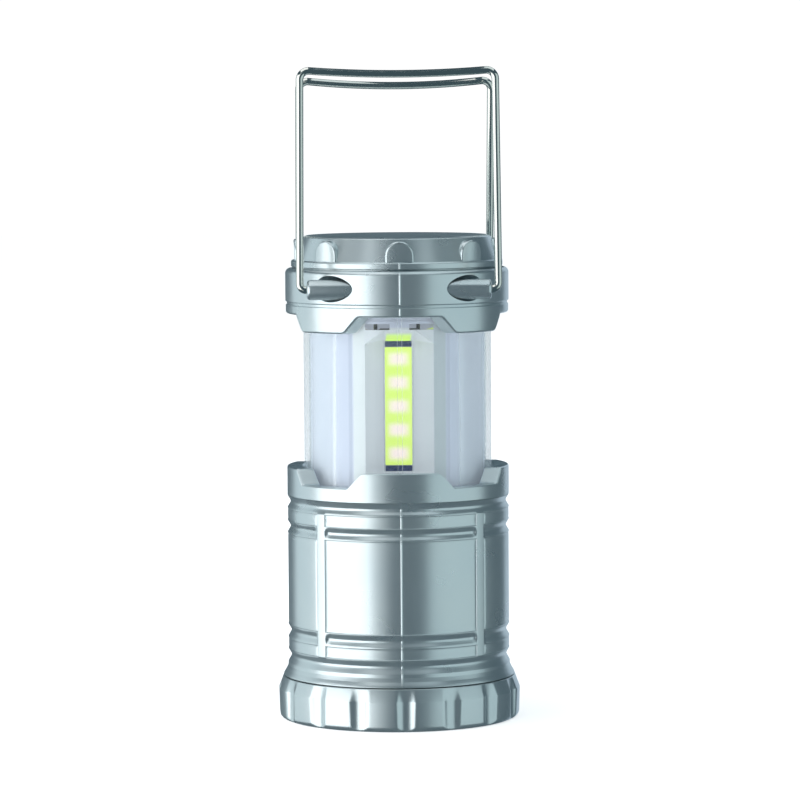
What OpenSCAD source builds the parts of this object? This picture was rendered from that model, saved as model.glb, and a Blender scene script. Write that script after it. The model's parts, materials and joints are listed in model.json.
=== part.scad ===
// Pull-up camping lantern: a fluted battery cover, a grooved body, a clear lens tube on a sliding head,
// and two wire bails. Millimetres, +Z up, base on z = 0, shown pulled up.

/* [Overall] */
// Radius of the battery cover, the widest part
base_r = 45.2; // [44:0.1:46]
// Radius of the body shell at its rings
body_r = 41.4; // [41:0.05:42]
// Radius of the collar's main band
collar_r = 41.55; // [41.4:0.05:42.2]
// How far the head slides down into the body
travel = 56; // [40:1:56]
// Usual wall thickness of the mouldings
wall = 2; // [1.6:0.1:2.4]

/* [Battery cover] */
// Height of the battery cover
cover_h = 15.8; // [15.4:0.1:16]
// Number of grip flutes
flute_count = 16; // [8:1:20]
// Depth of each flute
flute_depth = 1.3; // [1:0.1:1.8]

/* [Body] */
// Height where the body shell ends and the crown begins
crown_z = 83.5; // [82:0.1:84]
// Height of the crown's tabs
crown_top = 94.5; // [94:0.1:95]
// Height of the floor of the crown's notches
notch_z = 88.8; // [88.5:0.1:90]
// Depth of the body's grooves
groove_depth = 1.25; // [0.8:0.05:1.4]

/* [Lens tube] */
// Outer radius of the clear tube
tube_r = 34.95; // [34.8:0.05:35.3]
// Wall thickness of the clear tube
tube_wall = 2; // [1.5:0.1:2.1]

/* [Head] */
// Height of the collar's rounded shoulder
collar_top = 168.2; // [168:0.1:169]
// Height of the lowest point of the collar's tabs
tab_z = 145.2; // [145:0.1:146]
// Height of the roof of the collar's notches
roof_z = 151.4; // [151.2:0.1:152]
// Height of the top of the cap
cap_top = 180.2; // [179:0.1:181]
// Number of arched lugs on the cap
lug_count = 8; // [6:1:10]

/* [Bails] */
// Radius of the bail wire
wire_r = 1.4; // [1.2:0.05:1.5]
// Length from the pivot to the middle of the bail's top bar
bail_length = 79.9; // [70:0.1:82]
// Distance of the pivots from the middle plane
pivot_y = 33.7; // [33:0.1:34]
// Height of the pivots
pivot_z = 161.3; // [161:0.1:162]
// Lean of the front bail towards the middle, in degrees
front_lean = 4.5; // [0:0.5:20]
// Lean of the rear bail towards the middle, in degrees
rear_lean = 17.8; // [0:0.1:20]

/* [Light] */
// Distance of the strip boards from the axis
trough_r = 12; // [11.5:0.1:13]
// Width of each strip board
board_w = 10.3; // [9:0.1:10.6]
// Height of the strip boards' lower ends
board_z0 = 93; // [92.8:0.1:94]
// Height of the strip boards' upper ends
board_z1 = 141.4; // [140:0.1:142]

/* [Hidden] */
$fn = 96;

// Battery cover
cover_wall_r = 41.7;
cover_floor = 2.6;
flute_floor = 1.5;
flute_slope = 1.75;
flute_turn = 1.6;
hook_z = 12.2;
hook_h = 1.6;
// Body shell
skirt_r = 39.6;
skirt_z = 5;
inner_r = 39.4;
ledge_z = 18;
bayonet_z = 9.5;
bayonet_h = 2.4;
rib_w = 3.5;
// Crown
guide_r = 35.6;
spigot_z = 80;
notch_top_t = 16.9;
notch_floor_t = 11.4;
notch_top_y = 16.6;
notch_floor_y = 20.3;
crown_r = 41.35;
// Battery pack
cell_ring = 20.8;
cell_r = 7.25;
cell_z = 6.7;
cell_h = 49.5;
post_r = 6.5;
post_top = 88;
// Head
flange_r = 38.6;
flange_z = 77.6;
plate_z = 155.4;
tab_top_t = 16.2;
tab_low_t = 10.8;
tab_top_y = 16.9;
tab_low_y = 21.05;
band_r = 41.4;
channel_r = 4.85;
channel_y = 33;
channel_z = 161.6;
barrel_r = 3.7;
barrel_end = 33.7;
pin_r = 1.45;
bore_r = 1.5;
cap_r0 = 38.3;
cap_r1 = 35.2;
rim_r = 39.4;
rim_z = 168.7;
lug_w = 10.4;
// Reflector
lobe_r = 31.6;
frame_r = 32.4;
lead_r = 9.2;
reflector_z = 82;
reflector_top = 151.8;

// ---- helpers ----

function unit(v) = v / norm(v);

// Points that round the corner p1 between p0 and p2 by radius r.
function corner(p0, p1, p2, r, steps) = r <= 0 ? [p1] :
    let (a = unit(p0 - p1))
    let (b = unit(p2 - p1))
    let (half = acos(a * b) / 2)
    let (c = p1 + unit(a + b) * r / sin(half))
    let (s = p1 + a * r / tan(half) - c)
    let (e = p1 + b * r / tan(half) - c)
    let (a0 = atan2(s.y, s.x))
    let (raw = atan2(e.y, e.x) - a0)
    let (turn = raw > 180 ? raw - 360 : raw < -180 ? raw + 360 : raw)
    [for (i = [0:steps]) c + r * [cos(a0 + turn * i / steps), sin(a0 + turn * i / steps)]];

// An outline given as [x, y, corner radius], with its corners rounded.
function rounded(points, steps = 4) =
    let (n = len(points))
    let (flat = [for (p = points) [p.x, p.y]])
    [for (i = [0:n - 1]) each corner(flat[(i + n - 1) % n], flat[i], flat[(i + 1) % n], points[i].z, steps)];

module ring(outer, inner, z0, z1) {
    translate([0, 0, z0])
        difference() {
            cylinder(r = outer, h = z1 - z0);
            translate([0, 0, -1])
                cylinder(r = inner, h = z1 - z0 + 2);
        }
}

// Part of a ring, centred on the front and half degrees wide each way.
module sector(outer, inner, z0, z1, half) {
    reach = outer * 1.5;
    intersection() {
        ring(outer, inner, z0, z1);
        translate([0, 0, z0 - 1])
            linear_extrude(z1 - z0 + 2)
                polygon([[0, 0], [-reach * sin(half), -reach * cos(half)], [reach * sin(half), -reach * cos(half)]]);
    }
}

// Copies its children around the axis, starting at angle start from the front.
module around(count, start = 0) {
    for (i = [0:count - 1])
        rotate([0, 0, start + i * 360 / count])
            children();
}

// A prism that points at the front: outline in [x, z], from radius r0 out to r1.
module front_prism(outline, r0, r1) {
    translate([0, -r0, 0])
        rotate([90, 0, 0])
            linear_extrude(r1 - r0)
                polygon(outline);
}

// A tube along a list of points, with one side direction given for each point.
module sweep(path, sides_dir, radius, sides) {
    n = len(path);
    tangents = [for (i = [0:n - 1]) unit(path[min(i + 1, n - 1)] - path[max(i - 1, 0)])];
    points = [
        for (i = [0:n - 1])
            for (k = [0:sides - 1])
                path[i] + radius * (cos(k * 360 / sides) * sides_dir[i]
                    + sin(k * 360 / sides) * cross(tangents[i], sides_dir[i]))
    ];
    walls = [
        for (i = [0:n - 2])
            for (k = [0:sides - 1])
                let (a = i * sides + k)
                let (b = i * sides + (k + 1) % sides)
                each [[a, a + sides, b], [b, a + sides, b + sides]]
    ];
    start_cap = [for (k = [0:sides - 1]) k];
    end_cap = [for (k = [0:sides - 1]) n * sides - 1 - k];
    polyhedron(points = points, faces = concat(walls, [start_cap], [end_cap]));
}

// ---- fixed body ----

function groove(z0, z1) = [
    [body_r, z0, 0.6],
    [body_r - groove_depth - 0.2, (z0 + z1) / 2, 1.4],
    [body_r, z1, 0.6]
];

module body_shell() {
    outline = rounded(concat(
        [[skirt_r - 1, 16.1, 0], [43.4, 16.1, 0.2], [42.2, 18.2, 0.6], [body_r, 19.7, 0.8]],
        groove(20.9, 26.1),
        groove(30.2, 35.4),
        groove(69.5, 74.3),
        [[body_r, 78.7, 0.6], [body_r - groove_depth - 0.2, 81.1, 1.4], [body_r - 0.1, crown_z, 0]],
        [[inner_r, crown_z, 0], [inner_r, ledge_z, 0], [skirt_r - 1, ledge_z, 0]]
    ));
    color("silver") {
        difference() {
            union() {
                rotate_extrude()
                    polygon(outline);
                ring(skirt_r, skirt_r - wall, skirt_z, ledge_z);
                around(4, 45)
                    intersection() {
                        ring(body_r + 0.25, inner_r + 0.2, 26, 78.7);
                        translate([-rib_w / 2, -50, 0])
                            cube([rib_w, 50, 100]);
                    }
                translate([-0.2, -body_r - 0.12, 18.6])
                    cube([0.4, 2.2, 64.5]);
                around(3)
                    sector(skirt_r + 1.7, skirt_r - 0.5, bayonet_z, bayonet_z + bayonet_h, 12);
                around(3, 60)
                    translate([0, -35.4, 15.6])
                        cylinder(r = 3.4, h = ledge_z - 15.6);
            }
            around(3, 60)
                translate([0, -35.2, 10])
                    cylinder(r = 1.3, h = 12);
        }
    }
}

module crown_ring() {
    section = rounded([
        [guide_r, crown_z, 0],
        [crown_r, crown_z, 0.4],
        [crown_r, crown_top, 0.6],
        [guide_r, crown_top, 0.5]
    ]);
    color("silver")
        difference() {
            union() {
                rotate_extrude()
                    polygon(section);
                ring(39.3, 37, spigot_z, crown_z + 0.5);
            }
            crown_notches();
            ring(37, guide_r - 1, 86, 88);
        }
}

// The notches between the tabs. The side tabs' ends face the front and the back squarely.
module crown_notches() {
    notch = rounded([
        [-notch_top_t - 2, crown_top + 3, 0],
        [-notch_top_t, crown_top - 0.2, 0.6],
        [-notch_floor_t, notch_z, 1],
        [20, notch_z, 0],
        [20, crown_top + 3, 0]
    ]);
    mirrored = [for (p = notch) [-p.x, p.y]];
    end_side = rounded([
        [-60, notch_z, 0],
        [-notch_floor_y, notch_z, 1],
        [-notch_top_y, crown_top - 0.2, 0.6],
        [-notch_top_y + 1.6, crown_top + 3, 0],
        [-60, crown_top + 3, 0]
    ]);
    intersection() {
        union() {
            around(2, 45)
                front_prism(notch, 30, 50);
            around(2, 135)
                front_prism(mirrored, 30, 50);
        }
        corner_prisms(end_side);
    }
}

// Prisms along X over the four diagonal corners, drawn as [y, z] for the front ones.
module corner_prisms(outline) {
    for (side = [0, 1])
        for (row = [0, 1])
            mirror([side, 0, 0])
                mirror([0, row, 0])
                    translate([10, 0, 0])
                        rotate([90, 0, 90])
                            linear_extrude(40)
                                polygon(outline);
}

module tube_seal() {
    color("dimgray")
        ring(36.95, tube_r + 0.05, 86.1, 87.9);
}

module battery_holder() {
    web_out = cell_ring - cell_r - 0.6;
    color("dimgray")
        difference() {
            union() {
                translate([0, 0, ledge_z])
                    cylinder(r = 39.2, h = 2);
                around(3, 60)
                    translate([0, -cell_ring, cell_z + 0.4])
                        cylinder(r = cell_r + 1.15, h = 52.1);
                cylinder_post();
                around(3, 60)
                    translate([-0.8, -web_out, ledge_z + 1])
                        cube([1.6, web_out - post_r + 0.6, 36]);
            }
            around(3, 60)
                translate([0, -cell_ring, cell_z - 1])
                    cylinder(r = cell_r + 0.2, h = 52.3);
            around(3, 60)
                translate([0, -cell_ring, 50])
                    cylinder(r = 2, h = 20);
            around(3, 60)
                translate([0, -35.2, 10])
                    cylinder(r = 1.3, h = 12);
            translate([0, 0, 10])
                cylinder(r = post_r - 1.5, h = 76);
        }
}

module cylinder_post() {
    translate([0, 0, ledge_z])
        cylinder(r = post_r, h = post_top - ledge_z);
}

module aa_cells() {
    color("olivedrab")
        around(3, 60)
            translate([0, -cell_ring, cell_z]) {
                cylinder(r = cell_r, h = cell_h);
                cylinder(r = 2.75, h = cell_h + 1);
            }
}

module upper_contacts() {
    color("gainsboro")
        around(3, 60)
            translate([0, -cell_ring, 57.3]) {
                cylinder(r = 5, h = 0.5);
                cylinder(r = 1.9, h = 2.6);
            }
}

module post_contacts() {
    color("goldenrod") {
        ring(post_r + 0.45, post_r, 79, 82);
        ring(post_r + 0.45, post_r, 84, 87);
    }
}

module holder_screws() {
    color("gray")
        around(3, 60)
            translate([0, -35.2, 0])
                difference() {
                    union() {
                        translate([0, 0, 15.6])
                            cylinder(r = 1.25, h = 4.8);
                        translate([0, 0, 13.8])
                            cylinder(r = 2.4, h = 1.8);
                    }
                    translate([-1.7, -0.3, 13])
                        cube([3.4, 0.6, 1.6]);
                    translate([-0.3, -1.7, 13])
                        cube([0.6, 3.4, 1.6]);
                }
}

module cover_seal() {
    color("black")
        translate([0, 0, 15])
            rotate_extrude()
                translate([skirt_r + 0.8, 0])
                    circle(r = 0.75, $fn = 32);
}

// ---- battery cover ----

module battery_cover() {
    outline = rounded([
        [0, 0.9, 0],
        [34.4, 0.9, 0],
        [35.4, 0, 0.4],
        [base_r - 0.3, 0, 2],
        [base_r, 11, 1.2],
        [43.4, cover_h, 0.3],
        [cover_wall_r, cover_h, 0],
        [cover_wall_r, cover_floor, 0.8],
        [0, cover_floor, 0]
    ]);
    floor_r = base_r - flute_depth;
    far_r = base_r + 1;
    far_t = flute_floor + (far_r - floor_r) * flute_slope;
    color("silver")
        difference() {
            union() {
                rotate_extrude()
                    polygon(outline);
                around(3)
                    sector(cover_wall_r + 0.4, skirt_r + 0.5, hook_z, hook_z + hook_h, 10);
            }
            around(flute_count, flute_turn)
                translate([0, 0, -1])
                    linear_extrude(cover_h + 0.6)
                        polygon([[-flute_floor, -floor_r], [-far_t, -far_r], [far_t, -far_r], [flute_floor, -floor_r]]);
        }
}

module cover_contacts() {
    color("gainsboro")
        translate([0, 0, cover_floor])
            union() {
                around(3, 60)
                    translate([0, -cell_ring, 0])
                        cylinder(r = 6, h = 0.4);
                rotate([0, 0, 60])
                    contact_link();
            }
}

// A strip from one cell's plate to the next.
module contact_link() {
    span = cell_ring * sqrt(3);
    translate([0, -cell_ring, 0])
        rotate([0, 0, 60])
            translate([0, -2, 0])
                cube([span, 4, 0.4]);
}

module cell_springs() {
    steps = 48;
    turns = 3.5;
    wire = 0.4;
    angles = [for (i = [0:steps]) turns * 360 * i / steps];
    radii = [for (i = [0:steps]) 5 - 2.6 * i / steps];
    path = [for (i = [0:steps]) [radii[i] * cos(angles[i]), radii[i] * sin(angles[i]), 2.95 * i / steps]];
    dirs = [for (i = [0:steps]) [cos(angles[i]), sin(angles[i]), 0]];
    color("gainsboro")
        around(3, 60)
            translate([0, -cell_ring, cover_floor + 0.4 + wire])
                sweep(path, dirs, wire - 0.02, 6);
}

// ---- head ----

module collar() {
    skin = rounded([
        [39.8, roof_z, 0],
        [band_r, roof_z, 0.8],
        [band_r, 154.7, 0],
        [band_r - 0.4, 154.9, 0],
        [band_r - 0.4, 155.7, 0],
        [collar_r, 156, 0.3],
        [collar_r, collar_top, 1.9],
        [38, collar_top, 0],
        [38, collar_top - wall, 0],
        [39.8, collar_top - wall, 0]
    ]);
    tab = rounded([
        [-tab_top_t - 1, roof_z + 1, 0],
        [-tab_top_t, roof_z, 0],
        [-tab_low_t, tab_z, 1.2],
        [tab_low_t, tab_z, 1.2],
        [tab_top_t, roof_z, 0],
        [tab_top_t + 1, roof_z + 1, 0]
    ]);
    tab_end = rounded([
        [-60, tab_z - 1, 0],
        [-tab_low_y - 0.67, tab_z - 1, 0],
        [-tab_low_y, tab_z, 0],
        [-tab_top_y, roof_z, 0],
        [-tab_top_y + 1.34, roof_z + 2, 0],
        [-60, roof_z + 2, 0]
    ]);
    color("silver")
        difference() {
            union() {
                difference() {
                    union() {
                        rotate_extrude()
                            polygon(skin);
                        ring(40.5, tube_r + 0.1, roof_z, roof_z + 1.6);
                        ring(37, tube_r + 0.1, roof_z, plate_z);
                        ring(40.5, 11, plate_z, plate_z + 1.2);
                        intersection() {
                            ring(band_r, tube_r + 0.4, 140, roof_z + 1.2);
                            around(4, 45)
                                front_prism(tab, 30, 50);
                            corner_prisms(tab_end);
                        }
                        intersection() {
                            bail_cylinders(channel_r + 1, 13, 45, channel_y, channel_z);
                            cylinder(r = band_r - 0.2, h = 200);
                        }
                        around(3)
                            translate([0, -18, plate_z + 1])
                                cylinder(r = 1.6, h = 2.2);
                    }
                    bail_cylinders(channel_r, 15, 60, channel_y, channel_z);
                    around(3, 60)
                        translate([0, -28, 150])
                            cylinder(r = 1.4, h = 10);
                }
                bail_cylinders(barrel_r, 14, barrel_end);
            }
            bail_cylinders(bore_r, 24.5, 60);
        }
}

// The same cylinder at all four bail pivots, from x0 out to x1 on both sides.
module bail_cylinders(radius, x0, x1, y = pivot_y, z = pivot_z) {
    for (side = [0, 1])
        for (row = [-1, 1])
            mirror([side, 0, 0])
                translate([x0, row * y, z])
                    rotate([0, 90, 0])
                        cylinder(r = radius, h = x1 - x0);
}

module top_cap() {
    outline = rounded([
        [36.2, 167.5, 0],
        [37.7, 167.5, 0],
        [37.7, rim_z, 0],
        [rim_r, rim_z, 0.4],
        [rim_r, 171.1, 0.6],
        [cap_r0, 171.1, 0],
        [cap_r1, cap_top - 0.4, 0.6],
        [33, cap_top, 0],
        [0, cap_top, 0],
        [0, cap_top - wall, 0],
        [33, cap_top - wall, 0],
        [36.2, 170, 0]
    ]);
    color("silver")
        union() {
            rotate_extrude()
                polygon(outline);
            around(lug_count)
                cap_lug();
        }
}

// One arched lug: its face is upright, and it meets the slope of the cap behind it.
module cap_lug() {
    intersection() {
        translate([0, 0, 170.9])
            cylinder(r = cap_r0 + 0.05, h = 9);
        union() {
            translate([-lug_w / 2, -40, 170.9])
                cube([lug_w, 6, 2.8]);
            translate([0, -34, 173.7])
                rotate([90, 0, 0])
                    cylinder(r = lug_w / 2, h = 6);
        }
    }
}

module lens_tube() {
    inner = tube_r - tube_wall;
    color([0.9, 0.95, 1, 0.35])
        difference() {
            union() {
                cylinder_between(tube_r, flange_z, 155);
                cylinder_between(flange_r, flange_z, flange_z + 2);
            }
            difference() {
                cylinder_between(inner, flange_z - 1, 156);
                translate([-0.85, -inner - 1, flange_z - 1])
                    cube([1.7, 1.5, 79]);
            }
        }
}

module cylinder_between(radius, z0, z1) {
    translate([0, 0, z0])
        cylinder(r = radius, h = z1 - z0);
}

module tube_gasket() {
    color("dimgray")
        ring(tube_r - 0.1, tube_r - 1.9, 155, plate_z);
}

// One trough's recess: it is narrow at the strip and opens towards the tube. grow thickens it all round.
module trough(grow) {
    slope = 0.405;
    outer = 34.5;
    half = board_w / 2 + 0.25 + grow;
    spread = (outer - trough_r) * slope;
    rise = (outer - trough_r) * 0.24;
    hull() {
        front_prism([
            [-half, board_z0 - 0.4 - grow],
            [half, board_z0 - 0.4 - grow],
            [half, board_z1 + 0.2 + grow],
            [-half, board_z1 + 0.2 + grow]
        ], trough_r - grow, trough_r - grow + 0.01);
        front_prism([
            [-half - spread, board_z0 - 0.4 - grow],
            [-half - spread * 0.8, board_z0 - 0.4 - grow - rise],
            [half + spread * 0.8, board_z0 - 0.4 - grow - rise],
            [half + spread, board_z0 - 0.4 - grow],
            [half + spread, board_z1 - 0.2 + grow],
            [half, board_z1 + 0.2 + grow + rise],
            [-half, board_z1 + 0.2 + grow + rise],
            [-half - spread, board_z1 - 0.2 + grow]
        ], outer, outer + 0.01);
    }
}

module reflector() {
    skin = 1.4;
    frame_z1 = 149.6;
    color("lightsteelblue")
        difference() {
            union() {
                difference() {
                    union() {
                        cylinder_between(lobe_r, reflector_z, reflector_top);
                        around(3)
                            intersection() {
                                cylinder_between(frame_r, 86, frame_z1);
                                translate([0, 0, 80])
                                    linear_extrude(75)
                                        polygon([[-18.8, -25.2], [-16.6, -28.6], [-16.6, -40], [16.6, -40], [16.6, -28.6], [18.8, -25.2]]);
                            }
                        around(3, 60)
                            translate([0, -28, reflector_top - 0.1])
                                cylinder(r = 3, h = plate_z - reflector_top + 0.1);
                    }
                    cylinder_between(lobe_r - skin, reflector_z - 1, reflector_top - skin);
                }
                intersection() {
                    cylinder_between(lobe_r - 0.2, reflector_z, reflector_top);
                    around(3)
                        trough(skin);
                }
            }
            around(3)
                trough(0);
            around(3)
                for (side = [0, 1])
                    mirror([side, 0, 0])
                        translate([3.6, -40, 146.4])
                            cube([8.9, 12.6, 2.2]);
            cylinder_between(10, 149, 153);
            around(3, 60)
                translate([0, -28, 145])
                    cylinder(r = 1.3, h = 12);
        }
}

module cob_boards() {
    color("white")
        around(3)
            translate([-board_w / 2, -trough_r - 1.2, board_z0])
                cube([board_w, 1.2, board_z1 - board_z0]);
}

module cob_phosphor() {
    color("greenyellow")
        around(3)
            translate([-4.8, -trough_r - 1.7, board_z0 + 2.3])
                cube([9.6, 0.5, board_z1 - board_z0 - 4.6]);
}

module strip_clips() {
    color("midnightblue")
        around(3)
            for (z = [board_z0, board_z1 - 2.2])
                translate([-board_w / 2, -trough_r - 1.9, z])
                    cube([board_w, 0.7, 2.2]);
}

module driver_board() {
    color("darkgreen")
        difference() {
            cylinder_between(22, plate_z + 3.2, plate_z + 4.8);
            around(3)
                translate([0, -lead_r, 150])
                    cylinder(r = 1, h = 20);
        }
}

module driver_parts() {
    top = plate_z + 4.8;
    color("black") {
        translate([-3, -2, top])
            cube([6, 4, 1.7]);
        translate([0, -14.5, top])
            cylinder(r = 2.5, h = 5);
        translate([14.5, 4, top])
            cylinder(r = 3, h = 3);
        translate([-13, 3, top])
            cube([3, 1.6, 1]);
        translate([-13, 7, top])
            cube([3, 1.6, 1]);
    }
}

module head_screws() {
    color("gray")
        around(3, 60)
            translate([0, -28, 0])
                difference() {
                    union() {
                        cylinder_between(1.25, 147, plate_z + 1.4);
                        cylinder_between(2.6, plate_z + 1.2, plate_z + 2.8);
                    }
                    translate([-1.7, -0.3, plate_z + 1.9])
                        cube([3.4, 0.6, 2]);
                    translate([-0.3, -1.7, plate_z + 1.9])
                        cube([0.6, 3.4, 2]);
                }
}

module contact_wipers() {
    color("goldenrod")
        for (i = [0, 1])
            rotate([0, 0, 120 + 120 * i])
                translate([-1.5, 0, 0]) {
                    low = i == 0 ? 80 : 85;
                    translate([0, -10.55, low])
                        cube([3, 0.4, 102 - low]);
                    translate([0, -10.55, low])
                        cube([3, 3.45, 0.8]);
                }
}

module strip_leads() {
    color("firebrick")
        around(3)
            translate([0, -lead_r, 0])
                cylinder_between(0.7, 100, plate_z + 5.4);
}

// ---- bails ----

// Centre line of a bail in its own plane, [x, distance from the pivot], from the right pin to the left.
function bail_half(sag) =
    let (foot = 2.4)
    let (bend = 3.3)
    let (leg0 = barrel_end + 0.15 + foot)
    let (leg1 = leg0 - 0.5)
    concat(
        [[barrel_end - 0.5, 0]],
        [for (a = [0:15:90]) [leg0 - foot + foot * sin(a), foot - foot * cos(a)]],
        [for (i = [1:3]) [leg0 + (leg1 - leg0) * i / 4, foot + (bail_length - bend - foot) * i / 4]],
        [for (a = [0:15:90]) [leg1 - bend + bend * cos(a), bail_length - bend + bend * sin(a)]],
        [for (i = [1:4]) [(leg1 - bend) * (1 - i / 4), bail_length - sag * (1 - pow(1 - i / 4, 2))]]
    );

module bail(sag) {
    half = bail_half(sag);
    n = len(half);
    flat = concat(half, [for (i = [n - 2:-1:0]) [-half[i].x, half[i].y]]);
    path = [for (p = flat) [p.x, 0, p.y]];
    dirs = [for (p = path) [0, -1, 0]];
    sweep(path, dirs, wire_r, 16);
    for (side = [0, 1])
        mirror([side, 0, 0])
            translate([25, 0, 0])
                rotate([0, 90, 0])
                    cylinder(r = pin_r, h = barrel_end - 25);
}

module front_bail() {
    color("gainsboro")
        translate([0, -pivot_y, pivot_z])
            rotate([-front_lean, 0, 0])
                bail(1.25);
}

module rear_bail() {
    color("gainsboro")
        translate([0, pivot_y, pivot_z])
            rotate([rear_lean, 0, 0])
                bail(1.8);
}

body_shell();
crown_ring();
tube_seal();
battery_holder();
aa_cells();
upper_contacts();
post_contacts();
holder_screws();
cover_seal();
battery_cover();
cover_contacts();
cell_springs();
collar();
top_cap();
lens_tube();
tube_gasket();
reflector();
cob_boards();
cob_phosphor();
strip_clips();
driver_board();
driver_parts();
head_screws();
contact_wipers();
strip_leads();
front_bail();
rear_bail();
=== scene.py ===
"""Pull-up camping lantern: its finished surfaces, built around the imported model, and a plain studio."""

import json
import math

import bmesh
import bpy
import numpy as np
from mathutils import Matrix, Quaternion, Vector

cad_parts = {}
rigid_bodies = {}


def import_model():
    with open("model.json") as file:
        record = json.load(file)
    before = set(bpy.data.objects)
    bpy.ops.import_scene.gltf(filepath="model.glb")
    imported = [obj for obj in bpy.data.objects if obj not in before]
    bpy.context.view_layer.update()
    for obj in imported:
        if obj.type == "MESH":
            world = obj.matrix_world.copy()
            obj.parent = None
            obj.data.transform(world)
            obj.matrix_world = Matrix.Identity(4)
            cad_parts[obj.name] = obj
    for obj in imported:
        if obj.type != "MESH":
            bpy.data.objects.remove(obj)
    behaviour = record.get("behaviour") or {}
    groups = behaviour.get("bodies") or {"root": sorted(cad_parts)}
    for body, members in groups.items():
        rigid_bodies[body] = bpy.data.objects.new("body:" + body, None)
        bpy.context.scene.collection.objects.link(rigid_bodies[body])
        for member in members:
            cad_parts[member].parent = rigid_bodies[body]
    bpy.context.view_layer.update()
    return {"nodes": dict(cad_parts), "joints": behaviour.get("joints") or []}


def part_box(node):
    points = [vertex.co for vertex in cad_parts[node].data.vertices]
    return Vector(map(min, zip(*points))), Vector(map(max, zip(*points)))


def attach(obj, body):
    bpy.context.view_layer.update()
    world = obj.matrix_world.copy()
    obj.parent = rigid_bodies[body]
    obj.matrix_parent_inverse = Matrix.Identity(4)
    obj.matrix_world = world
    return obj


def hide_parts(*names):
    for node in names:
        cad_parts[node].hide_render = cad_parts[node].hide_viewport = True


bl_info = {
    "name": "Camping lantern",
    "version": (1, 0, 0),
    "blender": (4, 5, 0),
    "location": "View3D > Sidebar > Lantern",
    "description": "Builds a pull-up camping lantern with a clear tube, light strips and wire bails",
    "category": "Object",
}

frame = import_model()
MM = 0.001
TURN = 2 * math.pi
BARREL_END = 33.7  # from the middle to the outer face of a bail barrel, in millimetres


# ---------------------------------------------------------------- settings


class LanternSizes(bpy.types.PropertyGroup):
    """Sizes of the finish, in metres."""

    flutes: bpy.props.IntProperty(
        name="Flutes", description="Grip flutes round the battery cover", default=16
    )
    flute_depth: bpy.props.FloatProperty(
        name="Flute depth", description="Depth of each flute", default=1.3 * MM, subtype="DISTANCE"
    )
    groove_depth: bpy.props.FloatProperty(
        name="Groove depth", description="Depth of the body's grooves", default=1.25 * MM, subtype="DISTANCE"
    )
    panel_step: bpy.props.FloatProperty(
        name="Panel step",
        description="How far the panels lie below the ribs",
        default=0.22 * MM,
        subtype="DISTANCE",
    )
    rib_width: bpy.props.FloatProperty(
        name="Rib width", description="Width of the upright ribs", default=3.5 * MM, subtype="DISTANCE"
    )
    lugs: bpy.props.IntProperty(name="Cap lugs", description="Arched lugs round the cap", default=8)
    lug_width: bpy.props.FloatProperty(
        name="Lug width", description="Width of an arched lug", default=10.5 * MM, subtype="DISTANCE"
    )
    wire_radius: bpy.props.FloatProperty(
        name="Wire radius", description="Radius of the bail wire", default=1.4 * MM, subtype="DISTANCE"
    )


class LanternColours(bpy.types.PropertyGroup):
    """Colours of the finishes."""

    silver: bpy.props.FloatVectorProperty(
        name="Silver",
        description="Satin silver paint",
        default=(0.60, 0.67, 0.68),
        subtype="COLOR",
        min=0,
        max=1,
    )
    silver_cool: bpy.props.FloatVectorProperty(
        name="Cool silver",
        description="Second tone of the paint",
        default=(0.56, 0.64, 0.665),
        subtype="COLOR",
        min=0,
        max=1,
    )
    mirror: bpy.props.FloatVectorProperty(
        name="Mirror",
        description="Metallised reflector",
        default=(0.47, 0.50, 0.60),
        subtype="COLOR",
        min=0,
        max=1,
    )
    mirror_cool: bpy.props.FloatVectorProperty(
        name="Cool mirror",
        description="Second tone of the reflector",
        default=(0.44, 0.48, 0.58),
        subtype="COLOR",
        min=0,
        max=1,
    )
    phosphor: bpy.props.FloatVectorProperty(
        name="Phosphor",
        description="Phosphor between the chips",
        default=(0.70, 0.93, 0.16),
        subtype="COLOR",
        min=0,
        max=1,
    )
    chip: bpy.props.FloatVectorProperty(
        name="Chip",
        description="Phosphor over a lit chip",
        default=(1.05, 0.82, 0.92),
        subtype="COLOR",
        min=0,
        max=2,
    )


class LanternStage(bpy.types.PropertyGroup):
    """Camera and studio."""

    azimuth: bpy.props.FloatProperty(
        name="Azimuth",
        description="Camera's place round the lantern",
        default=math.radians(-1.5),
        subtype="ANGLE",
    )
    distance: bpy.props.FloatProperty(
        name="Distance", description="Camera to axis, on the level", default=1.487, subtype="DISTANCE"
    )
    height: bpy.props.FloatProperty(
        name="Height", description="Camera's height over the floor", default=0.226, subtype="DISTANCE"
    )
    aim_height: bpy.props.FloatProperty(
        name="Aim", description="Height that the camera looks at", default=0.1185, subtype="DISTANCE"
    )
    lens: bpy.props.FloatProperty(name="Lens", description="Focal length in millimetres", default=179.6)
    roll: bpy.props.FloatProperty(
        name="Roll", description="Roll of the camera", default=math.radians(-0.37), subtype="ANGLE"
    )


# ---------------------------------------------------------------- mesh tools


def unit(v):
    return v / np.linalg.norm(v)


def corner(before, here, after, radius, steps):
    """Points of an arc that rounds the corner here."""
    a, b = unit(before - here), unit(after - here)
    half = math.acos(float(np.clip(a @ b, -1, 1))) / 2
    centre = here + unit(a + b) * radius / math.sin(half)
    start = here + a * radius / math.tan(half) - centre
    end = here + b * radius / math.tan(half) - centre
    first = math.atan2(start[1], start[0])
    turn = (math.atan2(end[1], end[0]) - first + math.pi) % TURN - math.pi
    angles = first + turn * np.linspace(0, 1, steps + 1)
    return [centre + radius * np.array([math.cos(t), math.sin(t)]) for t in angles]


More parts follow.
